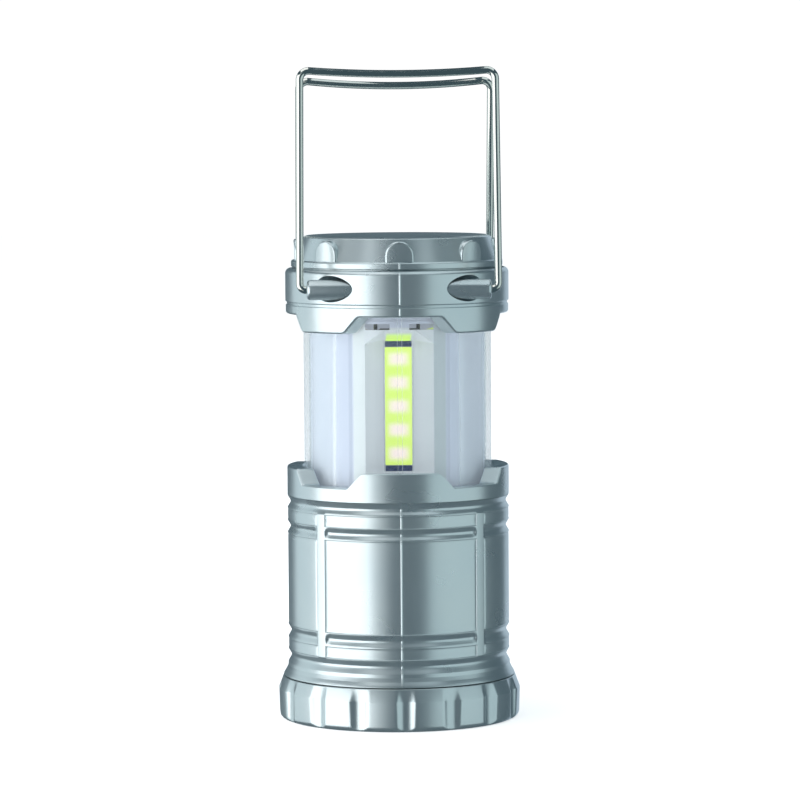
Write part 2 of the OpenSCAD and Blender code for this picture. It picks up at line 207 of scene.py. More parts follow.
def rounded(points, steps=5):
    """A closed outline of (x, y, corner radius), in millimetres, with rounded corners, as rows of metres."""
    flat = [np.array(p[:2], float) for p in points]
    out = []
    for i, p in enumerate(points):
        if p[2] > 0:
            out += corner(flat[i - 1], flat[i], flat[(i + 1) % len(flat)], p[2], steps)
        else:
            out.append(flat[i])
    return np.array(out) * MM


def densify(rows, step):
    """Splits the long runs of an outline so that no run is longer than step."""
    out = []
    for a, b in zip(rows[:-1], rows[1:]):
        n = max(1, math.ceil(np.linalg.norm(b - a) / step))
        out += [a + (b - a) * k / n for k in range(n)]
    out.append(rows[-1])
    return np.array(out)


def smooth_min(a, b, k):
    h = np.clip(0.5 + 0.5 * (b - a) / k, 0, 1)
    return b * (1 - h) + a * h - k * h * (1 - h)


def smooth_max(a, b, k):
    return -smooth_min(-a, -b, k)


def smooth_step(x, low, high):
    t = np.clip((x - low) / (high - low), 0, 1)
    return t * t * (3 - 2 * t)


def quarter(turn):
    """Angle from the nearest diagonal."""
    return turn % (math.pi / 2) - math.pi / 4


def ridge(across):
    """Height of the mould line, a fine raised line, at a distance across from its middle."""
    return np.exp(-((across / (0.24 * MM)) ** 2))


def angles_round(step, fine=(), span=0.0, fine_step=0.0):
    """Angles right round, in radians from the front, with finer runs centred on fine's angles (degrees)."""
    every = list(np.arange(0, 360, step))
    for c in fine:
        every += list(np.arange(c - span, c + span + fine_step / 2, fine_step) % 360)
    every = np.unique(np.round(every, 4))
    keep = [every[0]]
    for a in every[1:]:
        if a - keep[-1] > 0.02:
            keep.append(a)
    return np.radians(keep)


def new_object(name, verts, faces, sharp=35):
    """A closed mesh object that points outwards, shaded smooth where it bends by less than sharp degrees."""
    mesh = bpy.data.meshes.new(name)
    mesh.from_pydata([tuple(v) for v in verts], [], faces)
    bm = bmesh.new()
    bm.from_mesh(mesh)
    bmesh.ops.remove_doubles(bm, verts=bm.verts, dist=1e-6)
    bmesh.ops.recalc_face_normals(bm, faces=bm.faces)
    bm.to_mesh(mesh)
    bm.free()
    mesh.shade_smooth()
    mesh.set_sharp_from_angle(angle=math.radians(sharp))
    obj = bpy.data.objects.new(name, mesh)
    bpy.context.scene.collection.objects.link(obj)
    return obj


def ring_faces(rings, sides, closed=False):
    """Quads between neighbouring rings of points; closed also joins the last ring to the first."""
    faces = []
    for i in range(rings if closed else rings - 1):
        a, b = i * sides, (i + 1) % rings * sides
        for j in range(sides):
            k = (j + 1) % sides
            faces.append((a + j, a + k, b + k, b + j))
    return faces


def turned(name, rows, angles, shape, sharp=35):
    """Turns a closed outline of (radius, height) about the axis; shape moves its points by their angle."""
    radius = np.repeat(rows[:, 0][:, None], len(angles), 1)
    height = np.repeat(rows[:, 1][:, None], len(angles), 1)
    turn = np.repeat(angles[None, :], len(rows), 0)
    radius, height = shape(radius, height, turn)
    verts = np.stack([radius * np.sin(turn), -radius * np.cos(turn), height], -1).reshape(-1, 3)
    return new_object(name, verts, ring_faces(*radius.shape, closed=True), sharp)


def join(name, parts):
    """Joins finished objects into the first one's object."""
    bpy.ops.object.select_all(action="DESELECT")
    for p in parts:
        p.select_set(True)
    bpy.context.view_layer.objects.active = parts[0]
    bpy.ops.object.join()
    parts[0].name = name
    parts[0].data.name = name
    return parts[0]


def apply_modifiers(obj):
    """Replaces the object's mesh by what its modifiers make, and removes them."""
    depsgraph = bpy.context.evaluated_depsgraph_get()
    mesh = bpy.data.meshes.new_from_object(obj.evaluated_get(depsgraph), depsgraph=depsgraph)
    obj.modifiers.clear()
    old = obj.data
    obj.data = mesh
    mesh.name = old.name
    bpy.data.meshes.remove(old)


def cut(obj, tools):
    """Cuts closed tools out of a closed piece."""
    for tool in tools:
        mod = obj.modifiers.new("cut", "BOOLEAN")
        mod.operation = "DIFFERENCE"
        mod.solver = "EXACT"
        mod.object = tool
    apply_modifiers(obj)
    for tool in tools:
        bpy.data.objects.remove(tool)


def finish_piece(obj, body, node, material):
    """Gives a piece its material and body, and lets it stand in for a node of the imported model."""
    obj.data.materials.clear()
    obj.data.materials.append(material)
    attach(obj, body)
    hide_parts(node)


# ---------------------------------------------------------------- geometry nodes


class NodeTree:
    """A geometry node tree with named inputs."""

    def __init__(self, name, inputs):
        self.tree = bpy.data.node_groups.new(name, "GeometryNodeTree")
        face = self.tree.interface
        face.new_socket("Geometry", in_out="INPUT", socket_type="NodeSocketGeometry")
        self.ids = {}
        for label, kind in inputs.items():
            self.ids[label] = face.new_socket(label, in_out="INPUT", socket_type=kind).identifier
        face.new_socket("Geometry", in_out="OUTPUT", socket_type="NodeSocketGeometry")
        self.input = self.tree.nodes.new("NodeGroupInput").outputs
        self.result = self.tree.nodes.new("NodeGroupOutput").inputs["Geometry"]

    def add(self, kind, settings=(), **values):
        node = self.tree.nodes.new(kind)
        for key, value in dict(settings).items():
            setattr(node, key, value)
        for key, value in values.items():
            socket = node.inputs[int(key[1:])] if key[0] == "_" else node.inputs[key.replace("_", " ")]
            if isinstance(value, bpy.types.NodeSocket):
                self.tree.links.new(value, socket)
            else:
                socket.default_value = value
        return node.outputs

    def math(self, operation, a, b):
        return self.add("ShaderNodeMath", {"operation": operation}, _0=a, _1=b)[0]

    def end(self, geometry):
        real = self.add("GeometryNodeRealizeInstances", Geometry=geometry)[0]
        done = self.add("GeometryNodeSetMaterial", Geometry=real, Material=self.input["Material"])[0]
        self.tree.links.new(done, self.result)

    def run(self, obj, **values):
        mod = obj.modifiers.new("nodes", "NODES")
        mod.node_group = self.tree
        for label, value in values.items():
            mod[self.ids[label.replace("_", " ")]] = value
        apply_modifiers(obj)


def ring_tree():
    """Copies the incoming mesh right round the axis."""
    t = NodeTree("copies_round_axis", {"Count": "NodeSocketInt", "Material": "NodeSocketMaterial"})
    points = t.add("GeometryNodePoints", Count=t.input["Count"])[0]
    index = t.add("GeometryNodeInputIndex")[0]
    angle = t.math("MULTIPLY", index, t.math("DIVIDE", TURN, t.input["Count"]))
    rotation = t.add("ShaderNodeCombineXYZ", Z=angle)[0]
    piece = t.input["Geometry"]
    copies = t.add("GeometryNodeInstanceOnPoints", Points=points, Instance=piece, Rotation=rotation)[0]
    t.end(copies)
    return t


def wire_tree():
    """A round wire along the incoming edges, with closed ends."""
    inputs = {"Radius": "NodeSocketFloat", "Sides": "NodeSocketInt", "Material": "NodeSocketMaterial"}
    t = NodeTree("wire_on_path", inputs)
    path = t.add("GeometryNodeMeshToCurve", Mesh=t.input["Geometry"])[0]
    ring = t.add("GeometryNodeCurvePrimitiveCircle", Resolution=t.input["Sides"], Radius=t.input["Radius"])[0]
    tube = t.add("GeometryNodeCurveToMesh", Curve=path, Profile_Curve=ring, Fill_Caps=True)[0]
    t.end(tube)
    return t


# ---------------------------------------------------------------- shader tools


class Value:
    """A shader socket that takes part in expressions; each operation adds one Math node."""

    def __init__(self, maker, socket):
        self.maker, self.socket = maker, socket

    def _do(self, operation, a, b):
        return self.maker.node("ShaderNodeMath", {"operation": operation}, _0=a, _1=b)

    def __add__(self, other):
        return self._do("ADD", self, other)

    def __sub__(self, other):
        return self._do("SUBTRACT", self, other)

    def __mul__(self, other):
        return self._do("MULTIPLY", self, other)

    def __rsub__(self, other):
        return self._do("SUBTRACT", other, self)

    __radd__ = __add__
    __rmul__ = __mul__


class Finish:
    """Builds one material."""

    def __init__(self, name):
        self.material = bpy.data.materials.new(name)
        self.material.use_nodes = True
        self.tree = self.material.node_tree
        self.tree.nodes.clear()
        self.out = self.tree.nodes.new("ShaderNodeOutputMaterial")
        self.place = self.node("ShaderNodeTexCoord", output="Object")

    def node(self, kind, settings=(), output=0, **values):
        """Any node: its settings first, then the values or links of its sockets; returns one output."""
        node = self.tree.nodes.new(kind)
        for key, value in dict(settings).items():
            if key == "ramp":
                self._ramp(node.color_ramp, value)
            else:
                setattr(node, key, value)
        for key, value in values.items():
            socket = node.inputs[int(key[1:])] if key[0] == "_" else node.inputs[key.replace("_", " ")]
            if isinstance(value, Value):
                self.tree.links.new(value.socket, socket)
            elif isinstance(value, tuple) and len(value) == 3 and socket.type == "RGBA":
                socket.default_value = (*value, 1)
            else:
                socket.default_value = value
        return Value(self, node.outputs[output])

    @staticmethod
    def _ramp(ramp, stops):
        while len(ramp.elements) < len(stops):
            ramp.elements.new(0.5)
        for element, (position, colour) in zip(ramp.elements, stops):
            element.position = position
            element.color = (*colour, 1)

    def noise(self, scale, detail):
        return self.node("ShaderNodeTexNoise", Vector=self.place, Scale=scale, Detail=detail, Roughness=0.5)

    def mix(self, factor, a, b):
        return self.node("ShaderNodeMix", {"data_type": "RGBA"}, output=2, _0=factor, _6=a, _7=b)

    def stretch(self, value, low, high):
        """Spreads a noise's usual range, 0.3 to 0.7, over low to high."""
        ends = {"From_Min": 0.3, "From_Max": 0.7, "To_Min": low, "To_Max": high}
        return self.node("ShaderNodeMapRange", Value=value, **ends)

    def fade(self, value, start, end, settings=()):
        """0 at start and before it, 1 at end and beyond it; start may be the larger one."""
        return self.node("ShaderNodeMapRange", settings, Value=value, From_Min=start, From_Max=end)

    def axes(self, place):
        return [self.node("ShaderNodeSeparateXYZ", output=axis, Vector=place) for axis in "XYZ"]

    def reach(self):
        """Distance from the lantern's axis."""
        flat = self.node("ShaderNodeVectorMath", {"operation": "MULTIPLY"}, _0=self.place, _1=(1, 1, 0))
        return self.node("ShaderNodeVectorMath", {"operation": "LENGTH"}, output=1, _0=flat)

    def bump(self, height, strength, distance):
        return self.node("ShaderNodeBump", Height=height, Strength=strength, Distance=distance)

    def surface(self, **values):
        shader = self.node("ShaderNodeBsdfPrincipled", **values)
        self.end(shader)
        return self.material

    def end(self, shader):
        self.tree.links.new(shader.socket, self.out.inputs["Surface"])
        return self.material


def colours():
    return bpy.context.scene.lantern_colours


def sizes():
    return bpy.context.scene.lantern_sizes


def once(make):
    """Keeps the material that make builds, so that pieces share it."""
    kept = []

    def get():
        if not kept:
            kept.append(make())
        return kept[0]

    return get


@once
def silver_paint():
    """Satin silver paint with a faint cloudiness."""
    f = Finish("silver_paint")
    cloud = f.noise(35, 3)
    tone = f.mix(f.stretch(cloud, 0.0, 1.0), tuple(colours().silver), tuple(colours().silver_cool))
    rough = f.stretch(f.noise(60, 2), 0.27, 0.30)
    return f.surface(Base_Color=tone, Metallic=0.9, Roughness=rough, Coat_Weight=0.12, Coat_Roughness=0.25)


@once
def polished_wire():
    """Bright drawn steel wire with faint draw lines."""
    f = Finish("polished_wire")
    lines = f.noise(1800, 2)
    rough = f.stretch(f.noise(240, 2), 0.05, 0.09)
    return f.surface(
        Base_Color=f.mix(f.stretch(lines, 0, 1), (0.66, 0.67, 0.62), (0.74, 0.75, 0.71)),
        Metallic=1.0,
        Roughness=rough,
        Normal=f.bump(lines, 0.008, 0.00005),
    )


@once
def clear_plastic():
    """Polished clear tube: what is behind it shows, with a gloss that grows towards the edges."""
    f = Finish("clear_plastic")
    ripple = f.bump(f.noise(55, 1), 0.02, 0.0005)
    gloss = f.node(
        "ShaderNodeBsdfPrincipled", Base_Color=(0.86, 0.90, 0.93), Metallic=0.3, Roughness=0.09, Normal=ripple
    )
    clear = f.node("ShaderNodeBsdfTransparent", Color=(0.965, 0.98, 0.985))
    facing = f.node("ShaderNodeFresnel", IOR=1.42)
    share = facing * 0.5 + f.stretch(f.noise(180, 2), 0.012, 0.028)
    return f.end(f.node("ShaderNodeMixShader", _0=share, _1=clear, _2=gloss))


def trough_masks(f):
    """Masks over the three troughs for painted light: the strips' glow painted on the hoods, the frame bands
    painted lit on the left and shaded on the right, and the trough side painted lit.
    """
    about_z = {"rotation_type": "Z_AXIS"}
    total = None
    for k in range(3):
        x, y, z = f.axes(f.node("ShaderNodeVectorRotate", about_z, Vector=f.place, Angle=TURN * k / 3))
        square = x * x
        over_strip = f.fade(square, (4.9 * MM) ** 2, (4.3 * MM) ** 2)
        near_strip = f.fade(y, -27 * MM, -20 * MM)
        before_strip = f.fade(y, -11 * MM, -11.5 * MM)
        above = f.fade(z, 141.2 * MM, 141.5 * MM)
        below = f.fade(z, 145.9 * MM, 145.5 * MM)
        beyond_wall = f.fade(square, (12.4 * MM) ** 2, (12.8 * MM) ** 2)
        within_edge = f.fade(square, (17.3 * MM) ** 2, (16.7 * MM) ** 2)
        at_front = f.fade(y, -24.5 * MM, -25.5 * MM)
        left = f.fade(x, 1 * MM, -1 * MM)
        under_hood = f.fade(z, 147.5 * MM, 147 * MM)
        glow = over_strip * near_strip * before_strip * above * below
        band = beyond_wall * within_edge * at_front
        wall = (1 - beyond_wall) * before_strip * under_hood
        # painted light and shade: the strips' glow painted on the hoods, the frame band painted lit on the
        # left (where the left lamps fall) and shaded on the right, and the trough's side wall painted lit
        masks = (glow, band * left, band * (1 - left), wall)
        total = masks if total is None else [old + new for old, new in zip(total, masks)]
    return total


@once
def metallised():
    """Metallised moulding with painted light: a soft cool painted glow all over, frames painted lit and
    shaded, the strips' glow painted on the hoods, and painted shade inside above the hoods.
    """
    f = Finish("metallised")
    body = f.mix(f.stretch(f.noise(60, 2), 0, 1), tuple(colours().mirror), tuple(colours().mirror_cool))
    rough = f.stretch(f.noise(500, 2), 0.40, 0.46)
    glow, light, painted_shade_frame, painted_wall_light = trough_masks(f)
    # painted light: a faint cool glow over the whole reflector, which is no lamp
    painted_sheen = (0.19, 0.205, 0.225)
    # painted light and shade per mask: the trough sides painted lit, the left frame painted lit, the right
    # frame painted shaded, the strips' yellow-green glow painted on the hoods
    tones = (
        (painted_wall_light, (0.50, 0.53, 0.55), (0.27, 0.285, 0.295)),
        (light, (0.55, 0.58, 0.59), (0.24, 0.26, 0.26)),
        (painted_shade_frame, (0.42, 0.46, 0.48), (0.16, 0.18, 0.19)),
        (glow, (0.35, 0.5, 0.12), (0.5, 0.7, 0.14)),
    )
    for mask, body_tone, painted_glow_tone in tones:
        body = f.mix(mask, body, body_tone)
        painted_sheen = f.mix(mask, painted_sheen, painted_glow_tone)
    # painted shade: near black inside 31 mm of the axis above 146 mm, where shade falls inside the reflector
    inside = f.fade(f.reach(), 31.0 * MM, 30.6 * MM)
    high = f.fade(f.axes(f.place)[2], 146.0 * MM, 146.3 * MM)
    painted_shade_inside = inside * high
    # the emission here is painted light, not a lamp
    return f.surface(
        Base_Color=f.mix(painted_shade_inside, body, (0.04, 0.05, 0.05)),
        Metallic=0.35,
        Roughness=rough,
        Emission_Color=f.mix(painted_shade_inside, painted_sheen, (0.03, 0.035, 0.035)),
        Emission_Strength=1.0,
    )


@once
def lit_phosphor():
    """Phosphor strip over five lit chips: a soft pinkish-white spot over each chip, yellow-green between."""
    f = Finish("lit_phosphor")
    soft = {"interpolation_type": "SMOOTHSTEP"}
    low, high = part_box("cob_phosphor")
    chips = 5
    pitch = (high.z - low.z) / chips
    z = f.axes(f.place)[2]
    wave = f.node("ShaderNodeMath", {"operation": "COSINE"}, _0=(z - (low.z + pitch / 2)) * (TURN / pitch))
    along = f.fade(wave, -1.0, 1.0, soft)
    reach = f.reach()
    face = 13.75 * MM
    half_width = 4.9 * MM
    across = f.fade(reach * reach - face * face, half_width**2, 0.0, soft)
    colour = f.mix(along * across, tuple(colours().phosphor), tuple(colours().chip))
    grain = f.bump(f.noise(2500, 1), 0.1, 0.0001)
    return f.surface(
        Base_Color=(0.3, 0.4, 0.12),
        Roughness=0.4,
        Normal=grain,
        Emission_Color=colour,
        Emission_Strength=0.85,
    )


def plain(name, colour, second, rough, metallic=0.0, scale=400, depth=0.05, coat=0.0):
    """A moulded or plated finish with a little grain; second is the tone that the grain mixes in."""
    f = Finish(name)
    grain = f.noise(scale, 3)
    return f.surface(
        Base_Color=f.mix(f.stretch(grain, 0, 1), colour, second),
        Metallic=metallic,
        Roughness=f.stretch(grain, rough - 0.05, rough + 0.05),
        Normal=f.bump(grain, depth, 0.0001),
        Coat_Weight=coat,
    )


@once
def board_mask():
    """White mask of the light strips' boards."""
    return plain("board_mask", (0.86, 0.88, 0.9), (0.78, 0.8, 0.84), 0.35, scale=900)


@once
def navy_clip():
    """Glossy dark blue plastic of the end clips."""
    return plain("navy_clip", (0.045, 0.06, 0.16), (0.07, 0.09, 0.22), 0.3, scale=900, coat=0.3)


# ---------------------------------------------------------------- the fixed body


class LANTERN_OT_battery_cover(bpy.types.Operator):
    """Fluted battery cover with its foot ring"""

    bl_idname = "lantern.battery_cover"
    bl_label = "Battery cover"

    def execute(self, context):
        _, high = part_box("battery_cover")
        top = high.z / MM
        rows = rounded(
            [
                (0, 0.9, 0),
                (34.4, 0.9, 0.3),
                (35.4, 0, 0.4),
                (44.85, 0, 2.2),
                (45.2, 11, 1.4),
                (43.4, top, 0.4),
                (41.7, top, 0.2),
                (41.7, 2.6, 0.8),
                (0, 2.6, 0),
            ],
            steps=6,
        )
        pitch = TURN / sizes().flutes
        first = math.radians(1.6)
        floor = 45.2 * MM - sizes().flute_depth
        half_floor, slope = 1.5 * MM, 1.75

        def shape(radius, height, turn):
            a = (turn - first + pitch / 2) % pitch - pitch / 2
            wall = (half_floor - slope * floor) / (np.sin(np.abs(a)) - slope * np.cos(a))
            limit = smooth_max(floor / np.cos(a), wall, 0.7 * MM)
            outside = radius > 42.6 * MM
            return np.where(outside, smooth_min(radius, limit, 0.45 * MM), radius), height

        cover = turned("cover_ring", rows, angles_round(0.5), shape, sharp=50)
        finish_piece(cover, "cover", "battery_cover", silver_paint())
        return {"FINISHED"}


class LANTERN_OT_body_shell(bpy.types.Operator):
    """Body shell with its grooves, recessed panels, upright ribs and mould line"""

    bl_idname = "lantern.body_shell"
    bl_label = "Body shell"

    def execute(self, context):
        _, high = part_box("body_shell")
        rim = 41.5
        deep = rim - sizes().groove_depth / MM
        grooves = [(20.9, 26.1), (30.2, 35.4), (69.5, 74.3), (78.7, high.z / MM)]
        outline = [(39.5, 16.1, 0), (43.4, 16.1, 0.25), (42.2, 18.2, 0.6), (rim, 19.7, 0.6)]
        for z0, z1 in grooves:
            outline += [(rim, z0, 0.5), (deep - 0.2, (z0 + z1) / 2, 1.3), (rim, z1, 0.5)]
        outline[-1] = (rim - 0.1, high.z / MM, 0)
        outline += [(39.4, high.z / MM, 0), (39.4, 17, 0)]
        rows = densify(rounded(outline), 1.1 * MM)
        skin = rim * MM
        half_rib = sizes().rib_width / 2
        step = sizes().panel_step
        panels = [(26.0, 30.3), (35.3, 69.6), (74.2, 78.8)]
        inner = [(30.2, 35.4), (69.5, 74.3)]

        def band(height, z0, z1, soft):
            inside = np.minimum(height - z0 * MM, z1 * MM - height)
            return smooth_step(inside, -soft, soft)

        def shape(radius, height, turn):
            from_rib = np.abs(quarter(turn)) * skin - half_rib
            outside = radius > 40 * MM
            filled = sum(band(height, z0, z1, 0.1 * MM) for z0, z1 in inner)
            fill = filled * smooth_step(-from_rib, -1.3 * MM, 0.1 * MM)
            new = radius + (skin - radius) * fill
            for z0, z1 in panels:
                edge = np.minimum(np.minimum(height - z0 * MM, z1 * MM - height), from_rib - 0.15 * MM)
                new = new - step * smooth_step(edge, 0, 0.22 * MM)
                new = new - 0.16 * MM * np.exp(-(((edge - 0.25 * MM) / (0.16 * MM)) ** 2))
            seam = ridge(skin * np.sin(turn)) * band(height, 17.2, 82.8, 0.3 * MM)
            return np.where(outside, new + 0.16 * MM * seam, radius), height

        rib_edges = [r + s * 2.62 for r in (45, 135, 225, 315) for s in (-1, 1)]
        at_seams = angles_round(1.5, [0, 180], 1.0, 0.125)
        at_ribs = angles_round(1.5, rib_edges, 0.7, 0.1)
        angles = np.unique(np.concatenate([at_seams, at_ribs]))
        body = turned("body_shell_skin", rows, angles, shape, sharp=60)
        finish_piece(body, "base", "body_shell", silver_paint())
        return {"FINISHED"}


class LANTERN_OT_crown_ring(bpy.types.Operator):
    """Crown with its four tabs and notches"""

    bl_idname = "lantern.crown_ring"
    bl_label = "Crown ring"

    def execute(self, context):
        _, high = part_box("crown_ring")
        top = high.z / MM
        rows = rounded(
            [
                (35.6, 83.5, 0),
                (37, 83.5, 0),
                (37, 80, 0),
                (39.3, 80, 0),
                (39.3, 83.5, 0),
                (41.4, 83.5, 0.4),
                (41.4, top, 0.6),
                (35.6, top, 0.5),
            ],
            steps=6,
        )
        rows = densify(rows, 0.9 * MM)
        notch_floor = 88.8 * MM
        side_foot, side_slope = 20.3 * MM, 5.5 / 3.7
        front_foot, front_slope = 36.4 * MM, 5.5 / 2.3
        start, end = 84.8 * MM, high.z - 0.65 * MM

        def shape(radius, height, turn):
            """Draws the top edge down into the notches; y is the distance from the middle plane."""
            y = np.abs(radius * np.cos(turn))
            wall = np.where(y < 28 * MM, (side_foot - y) * side_slope, (y - front_foot) * front_slope)
            edge = smooth_max(notch_floor + wall, notch_floor + 0 * y, 0.8 * MM)
            edge = smooth_min(edge, high.z + 0 * y, 0.35 * MM)
            ratio = np.clip((height - start) / (end - start), 0, 1)
            return radius, height - (high.z - edge) * ratio

        corners = [s + side * a for s in (0, 180) for side in (-1, 1) for a in (20.5, 26, 60.5, 66.5)]
        crown = turned("crown_skin", rows, angles_round(0.6, corners, 2.0, 0.15), shape, sharp=40)
        finish_piece(crown, "base", "crown_ring", silver_paint())
        return {"FINISHED"}


# ---------------------------------------------------------------- the head


def barrel_piece(side, row, pivot, r, x0, x1, bore=None, steps=48):
    """A cylinder along X on a bail pivot, as a closed turned shape; bore is the radius of its blind hole."""
    outline = [(0, x0, 0), (r, x0, 0), (r, x1, 1.3 if bore else 0)]
    if bore:
        floor = x1 - 6
        outline += [(bore, x1, 0.25), (bore, floor, 0), (0, floor, 0)]
    else:
        outline += [(0, x1, 0)]
    rows = rounded(outline)
    angles = np.linspace(0, TURN, steps, endpoint=False)
    verts = []
    for radius, along in rows:
        for a in angles:
            verts.append((side * along, row * pivot.y + radius * math.cos(a), pivot.z + radius * math.sin(a)))
    return new_object("barrel", verts, ring_faces(len(rows), steps))


def pivot_point():
    """The rear bail's pivot; the front bail's lies as far on the other side of the middle plane."""
    joint = next(j for j in frame["joints"] if j["name"] == "rear_bail_fold")
    return Vector(joint["pos_m"])


class LANTERN_OT_collar(bpy.types.Operator):
    """Collar with its tabs, bail pockets and barrels"""

    bl_idname = "lantern.collar"
    bl_label = "Collar"

    def execute(self, context):
        low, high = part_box("collar")
        top = high.z / MM
        roof = 151.4
        rows = rounded(
            [
                (23.5, 155.4, 0),
                (35.2, 155.4, 0),
                (35.2, roof, 0.3),
                (41.45, roof, 0.9),
                (41.45, 154.6, 0.15),
                (41.05, 154.8, 0.1),
                (41.05, 155.7, 0.1),
                (41.6, 156.0, 0.35),
                (41.6, top, 1.9),
                (39.9, top, 0),
                (39.7, top - 0.5, 0),
                (38, top - 0.5, 0),
                (38, 166.5, 0),
                (23.5, 166.5, 0),
            ],
            steps=6,
        )
        rows = densify(rows, 1.6 * MM)
        window = roof * MM
        half_tab, half_foot = 10.8 * MM, 16.2 * MM
        end_foot, end_slope = 21.05 * MM, 6.2 / 4.15
        start, end = window + 0.95 * MM, 154.3 * MM

        def shape(radius, height, turn):
            """Draws the lower edge down into the tabs, and raises the mould line."""
            across = radius * np.sin(quarter(turn))
            side = low.z + (np.abs(across) - half_tab) * (window - low.z) / (half_foot - half_tab)
            edge = smooth_max(side, low.z + 0 * side, 1.2 * MM)
            edge = smooth_min(edge, window + 0 * edge, 1.2 * MM)
            wall = low.z + (end_foot - np.abs(radius * np.cos(turn))) * end_slope
            edge = smooth_min(smooth_max(edge, wall, 0.8 * MM), window + 0 * edge, 0.4 * MM)
            ratio = np.clip((end - height) / (end - start), 0, 1)
            seam = ridge(radius * np.sin(turn)) * smooth_step(radius, 41.3 * MM, 41.4 * MM)
            seam = seam * smooth_step(-np.abs(height - 161.5 * MM), -9.8 * MM, -9.2 * MM)
            return radius + 0.16 * MM * seam, height - (window - edge) * ratio

        angles = angles_round(0.6, [0, 180], 1.0, 0.125)
        skin = turned("collar_skin", rows, angles, shape, sharp=40)
        corners = [(side, row) for side in (-1, 1) for row in (-1, 1)]
        pocket = Vector((0, 33 * MM, 161.6 * MM))
        cut(skin, [barrel_piece(s, r, pocket, 4.85, 15.5, 55, steps=96) for s, r in corners])
        skin.data.shade_smooth()
        skin.data.set_sharp_from_angle(angle=math.radians(40))
        barrels = [barrel_piece(s, r, pivot_point(), 3.7, 14.5, BARREL_END, bore=1.5) for s, r in corners]
        collar = join("collar_skin", [skin, *barrels])
        finish_piece(collar, "head", "collar", silver_paint())
        return {"FINISHED"}


def arch(half, leg, inset, steps=14):
    """Outline of an upright arch from its left foot to its right foot, drawn in by inset."""
    a = half - inset
    angles = np.linspace(math.pi, 0, steps + 1)
    over = [(a * math.cos(t), leg + a * math.sin(t)) for t in angles]
    return [(-a, -0.3 * MM), *over, (a, -0.3 * MM)]


class LANTERN_OT_top_cap(bpy.types.Operator):
    """Cap with its rim ring and arched lugs"""

    bl_idname = "lantern.top_cap"
    bl_label = "Top cap"

    def execute(self, context):
        _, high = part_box("top_cap")
        top = high.z / MM
        rows = rounded(
            [
                (0, top, 0),
                (33.6, top, 1.0),
                (35.0, top - 0.5, 0.5),
                (38.2, 171.2, 0.25),
                (39.4, 171.2, 0.7),
                (39.4, 168.7, 0.4),
                (37.7, 168.7, 0),
                (37.7, 167.5, 0),
                (36.2, 167.5, 0),
                (36.2, 170, 0),
                (33, top - 2, 0),
                (0, top - 2, 0),
            ],
            steps=6,
        )

        def shape(radius, height, turn):
            seam = ridge(radius * np.sin(turn)) * (radius > 39 * MM) * (height < 171.3 * MM)
            return radius + 0.12 * MM * seam, height

        cap = turned("cap_skin", rows, angles_round(1.0, [0, 180], 1.0, 0.125), shape, sharp=40)
        finish_piece(cap, "head", "top_cap", silver_paint())

        half = sizes().lug_width / 2
        leg = 2.5 * MM
        foot = 171.2 * MM
        soft = 0.7 * MM
        back, face = 33.5 * MM, 38.4 * MM
        rings = [(back, 0.0)]
        for t in np.linspace(0, math.pi / 2, 6):
            rings.append((face - soft * (1 - math.sin(t)), soft * (1 - math.cos(t))))
        verts = []
        for out, inset in rings:
            for x, z in arch(half, leg, inset):
                verts.append((x, -math.sqrt(out * out - x * x), foot + z))
        n = len(arch(half, leg, 0))
        faces = ring_faces(len(rings), n)
        last = (len(rings) - 1) * n
        for j in range(n // 2 - 1):
            a, b = last + j, last + n - 1 - j
            faces.append((a, a + 1, b - 1, b))
        faces.append(tuple(range(n)))
        lug = new_object("cap_lugs", verts, faces, sharp=50)
        ring_tree().run(lug, Count=sizes().lugs, Material=silver_paint())
        finish_piece(lug, "head", "top_cap", silver_paint())
        return {"FINISHED"}


class LANTERN_OT_lens_tube(bpy.types.Operator):
    """Clear tube with its stop flange and seam rib"""

    bl_idname = "lantern.lens_tube"
    bl_label = "Lens tube"

    def execute(self, context):
        low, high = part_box("lens_tube")
        z0, z1 = low.z / MM, high.z / MM
        outer, inner = 34.95, 32.95
        rows = rounded(
            [
                (inner, z0, 0.3),
                (38.6, z0, 0.3),
                (38.6, z0 + 2, 0.3),
                (outer, z0 + 2, 0.3),
                (outer, z1, 0.3),
                (inner, z1, 0.3),
            ],
            steps=4,
        )

        def shape(radius, height, turn):
            across = np.abs(inner * MM * np.sin(turn))
            front = np.cos(turn) > 0
            rib = smooth_step(-across, -0.95 * MM, -0.75 * MM) * front
            return np.where(radius < (inner + 0.2) * MM, radius - 0.5 * MM * rib, radius), height

        tube = turned("clear_tube", rows, angles_round(1.5, [0], 2.2, 0.1), shape, sharp=30)
        finish_piece(tube, "head", "lens_tube", clear_plastic())
        return {"FINISHED"}


def slab(name, x, y0, y1, z0, z1, soft, steps=4):
    """A box with rounded upright edges and ends, facing the front: half width x, from y0 back to y1."""
    outline = []
    for sx, sz, first in ((1, 1, 0), (-1, 1, 90), (-1, -1, 180), (1, -1, 270)):
        cx = sx * (x - soft)
        cz = (z1 - soft) if sz > 0 else (z0 + soft)
        for i in range(steps + 1):
            t = math.radians(first + 90 * i / steps)
            outline.append((cx + soft * math.cos(t), cz + soft * math.sin(t)))
    centre_z = (z0 + z1) / 2
    crown = min(soft, abs(y1 - y0)) * 0.6
    rings = [(y1, 0.0), (y0 + crown, 0.0)]
    rings += [(y0 + crown * (1 - math.sin(t)), crown * (1 - math.cos(t))) for t in (0.5, 1.0, math.pi / 2)]
    verts = []
    for y, inset in rings:
        narrow, short = 1 - inset / x, 1 - inset / ((z1 - z0) / 2)
        for px, pz in outline:
            verts.append((px * narrow, y, centre_z + (pz - centre_z) * short))
    n = len(outline)
    faces = ring_faces(len(rings), n)
    faces.append(tuple(range(n)))
    faces.append(tuple((len(rings) - 1) * n + j for j in range(n)))
    return new_object(name, verts, faces, sharp=40)


